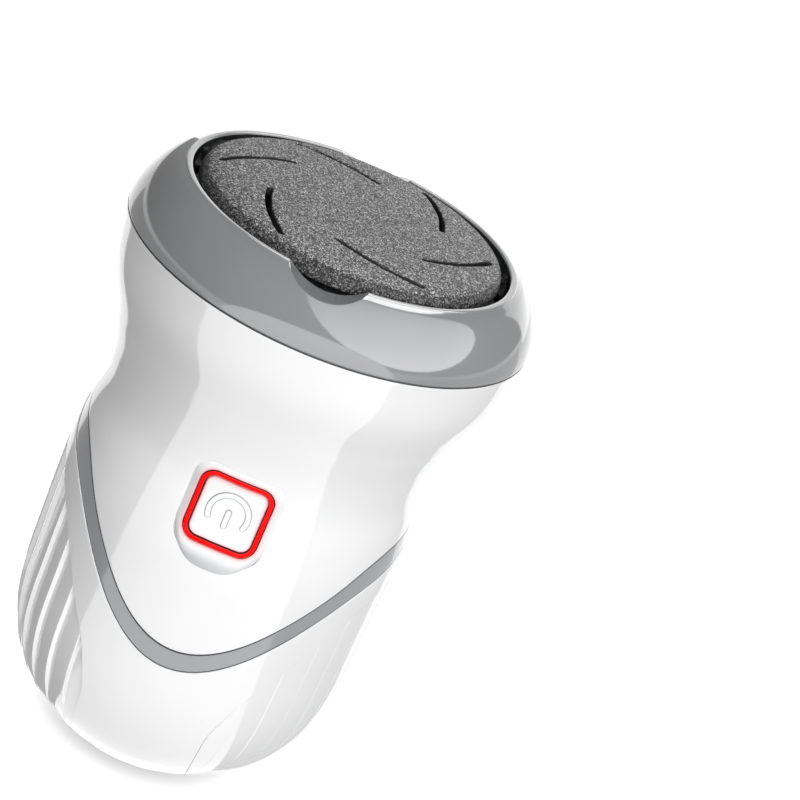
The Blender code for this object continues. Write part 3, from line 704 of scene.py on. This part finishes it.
def front_wedge():
    """Cutter that clears the front shell's place out of the grip shell."""
    z, edge = grip_edge(np.linspace(0, 1, 64))
    edge = edge + np.degrees(FINE_SEAM / body_radius(z))
    z = np.concatenate([z[:1] - 3, z, z[-1:] + 3])
    edge = np.concatenate([edge[:1], edge, edge[-1:]])
    reach = np.full(49, HEAD_RADIUS)
    loops = []
    for height, half in zip(z, edge):
        arc = at_body(np.linspace(-half, half, len(reach)), reach, height) / MM
        loops.append(np.vstack([(0.0, 0.0, height), arc]))
    return face_out(loft("front_wedge", loops, cap_start=True, cap_end=True))


def build_grip():
    """Grip shell with vertical ribs, cut open for the front shell and for the charging socket."""
    in_pitch = (0.0, 0.015, 0.03, 0.042, 0.05, 0.056, 0.062, 0.07, 0.08, 0.1, 0.2, 0.4, 0.6, 0.8,
                0.93, 0.98)
    turns = np.add.outer(np.arange(2, 19), in_pitch).ravel() * RIB_PITCH
    side = turns[turns < 180]
    v = np.linspace(0, 1, 90)
    fade = smoothstep(0.02, 0.32, v) * smoothstep(0.0, 0.03, 1 - v)
    loops = []
    for phi in np.concatenate([side, [180.0], 360 - side[::-1]]):
        from_front = min(phi, 360 - phi)
        z = blend(BASE_TOP_Z + SEAM, band_bottom(from_front) - SEAM, v)
        groove = RIB_DEPTH * rib_strength(phi) * fade * (1 - rib_height(from_front / RIB_PITCH))
        outer = at_body(phi, body_radius(z) - groove, z) / MM
        inner = at_body(phi, body_radius(z) - WALL, z) / MM
        loops.append(np.concatenate([outer, inner[::-1]]))
    shell = face_out(loft("grip", loops, cap_start=True, cap_end=True))
    cut(shell, front_wedge())
    loop = rounded_loop(9.8, 4.1, 1.9, steps=10)
    reach = float(body_radius(SOCKET_Z))
    loops = [np.stack([loop[:, 0], np.full(len(loop), y), loop[:, 1] + SOCKET_Z], -1)
             for y in (reach - 5, reach + 4)]
    cut(shell, face_out(loft("socket_hole", loops, cap_start=True, cap_end=True)))
    shell.data.set_sharp_from_angle(angle=math.radians(40))
    finish_piece(shell, GRIP, "housing", "shell_white", "grip_shell")


def build_base():
    heights = [BASE_TOP_Z - SEAM - t * t * (BASE_TOP_Z - 0.5) for t in np.linspace(0, 1, 14)]
    skin = [(float(body_radius(z)), z) for z in heights]
    recess, roof = 9.7, 1.5
    profile = [(0.0, 4.2), (15.0, 4.2), (20.5, BASE_TOP_Z - SEAM)] + skin
    profile += [(skin[-1][0] - 0.3, 0.3), (recess + 0.2, 0.3), (recess, 0.5), (recess, roof),
                (0.0, roof)]
    finish_piece(turned("base", profile), WHITE, "housing", "shell_white", "base_cap")
    pad = [(0.0, 1.2), (9.4, 1.2), (9.4, 0.25), (9.15, 0.0), (8.2, 0.0), (8.0, 0.15), (7.6, 0.15),
           (7.4, 0.0), (0.0, 0.0)]
    finish_piece(turned("foot", pad, 96), RUBBER, "housing", "rubber", "foot_pad")


# Head

def build_collar():
    """Collar with a flat raised lip, a dark bore and two scalloped finger notches."""
    top = HEAD_SEAM_Z + COLLAR_HEIGHT
    heights = COLLAR_HEIGHT * (1 - np.linspace(0.15, 1, 26) ** 1.6)
    heights = heights[heights > 0.25]
    lip = [(COLLAR_BORE, top - 0.5), (COLLAR_BORE + 0.03, top - 0.25),
           (COLLAR_BORE + 0.12, top - 0.08), (COLLAR_BORE + 0.3, top), (COLLAR_BORE + 1.0, top),
           (COLLAR_BORE + 1.12, top - 0.04), (COLLAR_BORE + LIP_WIDTH, top - 0.14)]
    outer = [(float(collar_radius(h)), HEAD_SEAM_Z + float(h)) for h in heights]
    seam_top = HEAD_SEAM_Z + SEAM
    skirt = [(HEAD_RADIUS - 0.02, seam_top + 0.25), (HEAD_RADIUS - 0.12, seam_top),
             (CARRIER_GAP, seam_top), (CARRIER_GAP, 93.2), (CARRIER_GAP - 0.2, 93.0), (29.8, 93.0),
             (29.6, 93.2), (29.6, 96.4), (COLLAR_BORE, 96.4)]
    collar = apply_modifiers(turned("head_collar", lip + outer + skirt, 224))
    mesh = bpy.data.meshes.new("notch")
    shape = bmesh.new()
    bmesh.ops.create_cone(shape, cap_ends=True, segments=160, radius1=NOTCH_RADIUS * MM,
                          radius2=NOTCH_RADIUS * MM, depth=2.4 * HEAD_RADIUS * MM)
    shape.to_mesh(mesh)
    shape.free()
    notch = bpy.data.objects.new("notch", mesh)
    bpy.context.scene.collection.objects.link(notch)
    notch.rotation_euler = (math.radians(90), 0.0, 0.0)
    notch.location = (0.0, 0.0, (top + NOTCH_RADIUS - NOTCH_DEPTH) * MM)
    bpy.context.view_layer.update()
    cut(collar, notch)
    apply_modifiers(round_edges(collar, 0.22, 3, 40))
    finish_piece(collar, GREY, "collar", "collar_grey", "collar")

    def in_bore(centre, normal):
        return math.hypot(centre.x, centre.y) < (COLLAR_BORE + 0.06) * MM

    paint_faces(collar, DARK_GLOSS, in_bore)


def build_collar_shadow_line():
    """Dark line in the joint between the collar and the shell below it: a ring of painted shade,
    where the joint is only in shade.
    """
    outer, inner = HEAD_RADIUS - 0.06, HEAD_RADIUS - 1.0
    profile = [(inner, HEAD_SEAM_Z + 0.3), (outer, HEAD_SEAM_Z + 0.3), (outer, HEAD_SEAM_Z - 0.3),
               (inner, HEAD_SEAM_Z - 0.3)]
    finish_piece(turned("collar_shadow_line", profile), SEAM_SHADE, "housing", "rubber")


def slot_outline(start):
    steps = 40
    s = np.linspace(0, 1, steps)
    radius = DISC_RADIUS * (SLOT_CURVE[0] + SLOT_CURVE[1] * s + SLOT_CURVE[2] * s * s)
    angle = np.radians(start - SLOT_SWEEP * s)
    line = np.stack([radius * np.cos(angle), radius * np.sin(angle)], -1)
    along = np.gradient(line, axis=0)
    along /= np.linalg.norm(along, axis=1)[:, None]
    across = np.stack([-along[:, 1], along[:, 0]], -1)
    half = SLOT_WIDTH / 2
    turn = np.linspace(0, math.pi, 9)[1:-1, None]
    head = line[0] + half * (across[0] * np.cos(turn) - along[0] * np.sin(turn))
    tail = line[-1] + half * (-across[-1] * np.cos(turn) + along[-1] * np.sin(turn))
    left, right = line + half * across, line - half * across
    return np.concatenate([head[::-1], left, tail[::-1], right[::-1]])


def build_disc():
    """Domed disc with rough grit on its top and side, and six slots through it."""
    rim = [(0.0, 0.0), (10.0, 0.04), (16.0, 0.12), (20.0, 0.26), (22.5, 0.42), (24.0, 0.62),
           (24.9, 0.9), (25.5, 1.3), (25.85, 1.9), (DISC_RADIUS, 2.6),
           (DISC_RADIUS, DISC_TOP_Z - DISC_BOTTOM_Z - 0.15)]
    profile = [(radius, DISC_TOP_Z - drop) for radius, drop in rim]
    profile += [(25.85, DISC_BOTTOM_Z), (24.9, DISC_BOTTOM_Z), (24.8, DISC_TOP_Z - 2.2),
                (23.0, DISC_TOP_Z - 1.8), (0.0, DISC_TOP_Z - 1.5)]
    disc = apply_modifiers(turned("disc", profile, 256))
    for i in range(SLOT_COUNT):
        loop = slot_outline(SLOT_START + 360 / SLOT_COUNT * i)
        ends = DISC_TOP_Z - 4, DISC_TOP_Z + 2
        loops = [np.column_stack([loop, np.full(len(loop), z)]) for z in ends]
        cut(disc, face_out(loft("slot", loops, cap_start=True, cap_end=True)))
    remesh = disc.modifiers.new("Grain", "REMESH")
    remesh.mode = "VOXEL"
    remesh.voxel_size = GRAIN * MM
    remesh.use_smooth_shade = True
    mesh = apply_modifiers(disc).data
    count = len(mesh.vertices)
    points, normals = np.zeros(count * 3), np.zeros(count * 3)
    mesh.vertices.foreach_get("co", points)
    mesh.vertices.foreach_get("normal", normals)
    points, normals = points.reshape(-1, 3), normals.reshape(-1, 3)
    reach = np.hypot(points[:, 0], points[:, 1]) / MM
    skin = np.clip(smoothstep(0.3, 0.6, normals[:, 2]) + smoothstep(25.2, 25.7, reach), 0, 1)
    skin *= smoothstep(DISC_BOTTOM_Z + 0.1, DISC_BOTTOM_Z + 0.4, points[:, 2] / MM)
    points += normals * (RNG.uniform(-0.9, 0.1, count) * GRIT_DEPTH * skin * MM)[:, None]
    mesh.vertices.foreach_set("co", points.ravel())
    mesh.update()
    finish_piece(disc, GRIT, "disc", "grit", "grinding_disc")

    # faces inside the rim that don't face up are painted black: on the underside it is the black
    # resin, on the slot walls it is painted shade inside the slots
    def underside_and_slot_shade(centre, normal):
        inner = math.hypot(centre.x, centre.y) < 25.0 * MM
        return inner and normal.z < 0.45

    def on_side(centre, normal):
        return math.hypot(centre.x, centre.y) > 25.0 * MM

    paint_faces(disc, BLACK, underside_and_slot_shade)
    # the side wall takes the darker copy of the grit, as painted shade
    paint_faces(disc, GRIT_SIDE_SHADE, on_side)


# Button

def face_depth(x, z):
    """How far inwards the pad's face lies from the button's plane: it follows the body softly."""
    return -BEZEL_PROUD + 0.85 * skin_depth(x, z) - 0.008 * np.minimum(z, 0) ** 2


def build_bezel():
    """Raised pad round the light ring, with rounded sides and a sloping lower part."""
    inner = rounded_loop(RING_SIDE + 2 * RING_GAP, RING_SIDE + 2 * RING_GAP, CORNER + RING_GAP)
    outer = rounded_loop(BEZEL_WIDTH, BEZEL_HEIGHT, 3.2, 6.6, -BEZEL_DROP, 1.3)
    count = len(inner)
    loops = [in_button(inner[:, 0], np.full(count, depth), inner[:, 1])
             for depth in (3.0, 1.2, 0.3)]
    loops.append(in_button(inner[:, 0], face_depth(inner[:, 0], inner[:, 1]) + 0.1, inner[:, 1]))
    for t in np.linspace(0.03, 1, 30):
        loop = blend(inner, outer, t)
        x, z = loop[:, 0], loop[:, 1]
        skin, face = skin_depth(x, z), face_depth(x, z)
        low = smoothstep(0.0, -RING_SIDE / 2, z)
        drop = blend(smoothstep(0.0, 1.0, t), t ** 2.4, low)
        sink = blend(0.05, 0.3, low)
        loops.append(in_button(x, face + (skin + sink - face) * drop, z))
    x, z = outer[:, 0], outer[:, 1]
    loops.append(in_button(x, skin_depth(x, z) + 1.2, z))
    bezel = face_out(loft("bezel", loops))
    finish_piece(bezel, WHITE_PAINTED_GLOW_AND_SHADE, "housing", "shell_white", "button_bezel")


def build_light_ring():
    inside = RING_SIDE - 2 * RING_BAND
    outer = rounded_loop(RING_SIDE, RING_SIDE, CORNER)
    inner = rounded_loop(inside, inside, CORNER - RING_BAND)
    count = len(outer)
    loops = [in_button(outer[:, 0], np.full(count, 3.0), outer[:, 1])]
    for angle in np.linspace(0, math.pi, 21):
        loop = blend(outer, inner, 0.5 - 0.5 * math.cos(angle))
        face = face_depth(loop[:, 0], loop[:, 1])
        loops.append(in_button(loop[:, 0], face + 0.25 - 0.35 * math.sin(angle) ** 0.7, loop[:, 1]))
    loops.append(in_button(inner[:, 0], np.full(count, 3.0), inner[:, 1]))
    ring = face_out(loft("glow_ring", loops))
    finish_piece(ring, GLOW, "housing", "ring_red", "light_ring")
    origin, across, _, up = button_axes()

    def at_rim(centre, normal):
        offset = np.array(centre) / MM - origin
        reach = np.maximum(np.abs((offset @ across, offset @ up)) - (RING_SIDE / 2 - CORNER), 0)
        from_middle = abs(math.hypot(*reach) - (CORNER - RING_BAND / 2))
        return from_middle > RING_BAND / 2 - 0.11

    # the ring's rims are painted dark red, as painted shade in the gaps on either side of the ring
    paint_faces(ring, RING_RIM_SHADE, at_rim)


def stroke_distance(x, z):
    """Distance to the power symbol's centre lines: an arc open downwards and a bar in its gap."""
    first, last = math.radians(-23), math.radians(203)
    angle = np.arctan2(z, x)
    angle = np.where(angle < math.radians(-90), angle + 2 * math.pi, angle)
    near = np.clip(angle, first, last)
    arc = np.hypot(x - SYMBOL_RADIUS * np.cos(near), z - SYMBOL_RADIUS * np.sin(near))
    bar = np.hypot(x, z - np.clip(z, -2.0, 0.35))
    return np.minimum(arc, bar)


def build_button():
    """White key with a raised power symbol."""
    side = RING_SIDE - 2 * RING_BAND - 2 * RING_GAP
    edge = rounded_loop(side, side, CORNER - RING_BAND - RING_GAP, steps=60)
    loops = [in_button(edge[:, 0], np.full(len(edge), 2.3), edge[:, 1])]
    for t in np.concatenate([np.linspace(1.0, 0.955, 8), np.linspace(0.95, 0.004, 130)]):
        x, z = edge[:, 0] * t, edge[:, 1] * t
        rounding = KEY_ROUNDING * smoothstep(0.955, 1.0, t) ** 2
        wall = SYMBOL_HALF_STROKE + np.array((-0.07, 0.07))
        symbol = SYMBOL_HEIGHT * (1 - smoothstep(*wall, stroke_distance(x, z)))
        loops.append(in_button(x, face_depth(x, z) - 0.02 + rounding - symbol, z))
    button = face_out(loft("button_cap", loops, cap_start=True, cap_end=True))
    finish_piece(button, WHITE_PAINTED_GLOW_AND_SHADE, "button", "shell_white", "power_button")
    origin, across, _, up = button_axes()

    def on_symbol_wall(centre, normal):
        offset = np.array(centre) / MM - origin
        return abs(stroke_distance(offset @ across, offset @ up) - SYMBOL_HALF_STROKE) < 0.085

    # the symbol's walls are painted grey, as painted shade along its raised edges
    paint_faces(button, SYMBOL_WALL_SHADE, on_symbol_wall)


# Studio

def aim(thing, target):
    direction = Vector(target) - thing.location
    thing.rotation_euler = direction.to_track_quat("-Z", "Y").to_euler()


def direction(azimuth, elevation):
    """Unit vector; azimuth 0 is the front, and positive angles turn to +X."""
    a, e = math.radians(azimuth), math.radians(elevation)
    return Vector((math.sin(a) * math.cos(e), -math.cos(a) * math.cos(e), math.sin(e)))


def soft_light(name, azimuth, elevation, distance, radius, power):
    """Round soft light that shades the object but isn't mirrored in it."""
    light = bpy.data.lights.new(name, "AREA")
    light.shape = "DISK"
    light.size = 2 * radius
    light.energy = power
    lamp = bpy.data.objects.new(name, light)
    bpy.context.scene.collection.objects.link(lamp)
    lamp.location = HEAD + direction(azimuth, elevation) * distance
    lamp.visible_camera = False
    lamp.visible_glossy = False
    aim(lamp, HEAD)


def mirror_card(name, corners, low, high=None):
    """A glowing card that only shows mirrored in gloss; its glow runs from low to high along Y."""
    card = make_object(name, corners, [tuple(range(len(corners)))])
    nodes = Nodes(name + "_glow")
    axes = nodes.node("ShaderNodeSeparateXYZ")
    nodes.link(nodes.place, axes.inputs["Vector"])
    ys = [corner[1] for corner in corners]
    glow = nodes.node("ShaderNodeMapRange")
    nodes.link(axes.outputs["Y"], glow.inputs["Value"])
    glow.inputs["From Min"].default_value = min(ys)
    glow.inputs["From Max"].default_value = max(ys)
    glow.inputs["To Min"].default_value = low
    glow.inputs["To Max"].default_value = low if high is None else high
    glowing = nodes.set(Base_Color=(0.0, 0.0, 0.0), Specular_IOR_Level=0.0,
                        Emission_Color=(1.0, 1.0, 1.0), Emission_Strength=glow.outputs["Result"])
    card.data.materials.append(glowing)
    card.visible_camera = False
    card.visible_diffuse = False
    card.visible_shadow = False
    card.visible_transmission = False
    return card


def ellipse(half_width, half_height, count):
    """Points of an ellipse in the XY plane."""
    turns = np.linspace(0, 2 * math.pi, count + 1)[:-1]
    return [(half_width * math.cos(t), half_height * math.sin(t), 0.0) for t in turns]


def floor_card(name, outline, glow):
    """A mirror card lying on the floor, given by (x, y) in metres."""
    return mirror_card(name, [(x, y, 0.0006) for x, y in outline], glow)


def build_floor():
    """Pale paper that glows, so that it stays white, with a painted soft shadow where its glow
    darkens under the object.
    """
    size = 4.0
    points = [(-size, -size, 0), (size, -size, 0), (size, size, 0), (-size, size, 0)]
    floor = make_object("floor", points, [(0, 1, 2, 3)])
    nodes = Nodes("floor_paper")
    tint = nodes.mix(nodes.noise(6.0, 2.0), (0.25, 0.25, 0.25), (0.24, 0.24, 0.242))
    # painted contact shadow: ambient occlusion darkens the glow close to the object
    near = nodes.node("ShaderNodeAmbientOcclusion", samples=16)
    near.inputs["Distance"].default_value = 0.006
    glow = nodes.ramp(near.outputs["AO"], ((0.0, 0.35), (0.4, 0.8), (0.7, 1.0)))
    grain = nodes.bump(nodes.noise(900.0, 3.0), 0.05, 0.0001)
    paper = nodes.set(Base_Color=tint, Roughness=0.9, Specular_IOR_Level=0.1, Normal=grain,
                      Emission_Color=glow, Emission_Strength=1.0)
    floor.data.materials.append(paper)
    floor.visible_diffuse = False


def build_backdrop():
    """White wall far round the floor, seen only by the camera."""
    points = []
    for t in np.linspace(0, 2 * math.pi, 65)[:-1]:
        points += [(3.95 * math.cos(t), 3.95 * math.sin(t), z) for z in (-0.01, 3.5)]
    wall = make_object("backdrop", points, grid_faces(64, 2, True))
    nodes = Nodes("backdrop_white")
    glow = nodes.ramp(nodes.noise(2.0, 2.0), ((0.0, 0.98), (1.0, 1.0)))
    wall.data.materials.append(nodes.set(Base_Color=(0.0, 0.0, 0.0), Specular_IOR_Level=0.0,
                                         Emission_Color=glow, Emission_Strength=1.0))
    wall.visible_diffuse = False
    wall.visible_glossy = False
    wall.visible_shadow = False


def build_studio():
    world = bpy.data.worlds.new("tent")
    bpy.context.scene.world = world
    world.use_nodes = True
    tree = world.node_tree
    back = tree.nodes["Background"]
    back.inputs["Color"].default_value = (1.0, 1.0, 1.0, 1.0)
    place = tree.nodes.new("ShaderNodeTexCoord")
    axes = tree.nodes.new("ShaderNodeSeparateXYZ")
    from_left = tree.nodes.new("ShaderNodeMapRange")
    tree.links.new(place.outputs["Generated"], axes.inputs["Vector"])
    tree.links.new(axes.outputs["X"], from_left.inputs["Value"])
    tree.links.new(from_left.outputs["Result"], back.inputs["Strength"])
    from_left.inputs["From Min"].default_value = -1.0
    from_left.inputs["To Min"].default_value = WORLD_LEFT
    from_left.inputs["To Max"].default_value = WORLD_RIGHT
    build_floor()
    build_backdrop()
    soft_light("key", 14, 30, 0.7, 0.38, 5.9)
    soft_light("back_fill", 180, 12, 1.0, 0.3, 5.0)

    softbox = mirror_card("softbox_round", ellipse(0.44, 0.44, 64), 4.6, 1.2)
    softbox.location = HEAD + direction(56, 45) * 0.5
    aim(softbox, HEAD)

    near, far, wide = (0.018, -0.0166), (0.42, -0.33), 1.0
    front = [(-near[0], near[1]), near, far, (-far[0], far[1])]
    floor_card("card_front", front, 1.85)
    half_turn = np.linspace(0, math.pi, 33)
    arch = [(0.03 + 0.34 * math.cos(t), 0.195 * math.sin(t), 0.0) for t in half_turn]
    arch = mirror_card("card_arch", arch, 2.6)
    arch.location = (0.0, -0.33, 0.001)
    arch.rotation_euler = (math.radians(90), 0.0, 0.0)
    right = [(0.030, 0.005), (wide, 1.02), (wide, far[1]), far, near]
    floor_card("card_right", right, 0.8)
    floor_card("card_left", [(-x, y) for x, y in right[::-1]], 0.5)
    ceiling = mirror_card("card_high", ellipse(0.16, 0.16, 32), 7.0)
    ceiling.location = HEAD + direction(172, 56) * 0.5
    aim(ceiling, HEAD)
    back = [(-0.16, 0.0, 0.0), (0.45, 0.0, 0.0), (0.45, 0.34, 0.0), (-0.16, 0.34, 0.0)]
    back_card = mirror_card("card_back", back, 1.8, 1.2)
    back_card.location = (0.0, 0.5, 0.04)
    back_card.rotation_euler = (math.radians(90), 0.0, 0.0)
    bpy.context.scene.view_settings.view_transform = "Standard"


def build_camera():
    """Camera above the front, rolled so that the object leans to the right in the picture."""
    elevation, distance, roll = math.radians(27.79), 0.345, math.radians(22.95)
    pan, tilt = math.radians(4.07), math.radians(1.36)
    look_at = Vector((0, 0, 0.06))
    back = Vector((0, -math.cos(elevation), math.sin(elevation)))
    right = Vector((1, 0, 0))
    up = back.cross(right)
    base = Matrix((right, up, -back))
    turn_roll = Matrix.Rotation(-roll, 3, "Z")
    turn_tilt = Matrix.Rotation(tilt, 3, "X")
    turn_pan = Matrix.Rotation(-pan, 3, "Y")
    rows = turn_tilt @ turn_pan @ turn_roll @ base
    data = bpy.data.cameras.new("camera")
    data.sensor_width = 36.0
    data.lens = FOCAL_LENGTH
    data.clip_start = 0.01
    camera = bpy.data.objects.new("camera", data)
    bpy.context.scene.collection.objects.link(camera)
    columns = Matrix((rows[0], rows[1], -rows[2])).transposed()
    camera.matrix_world = Matrix.Translation(look_at + back * distance) @ columns.to_4x4()
    bpy.context.scene.camera = camera


build_camera()
build_studio()
dress_cad_nodes()
build_upper_shell()
build_band()
build_front_shell()
build_grip()
build_base()
build_collar()
build_collar_shadow_line()
build_disc()
build_bezel()
build_light_ring()
build_button()
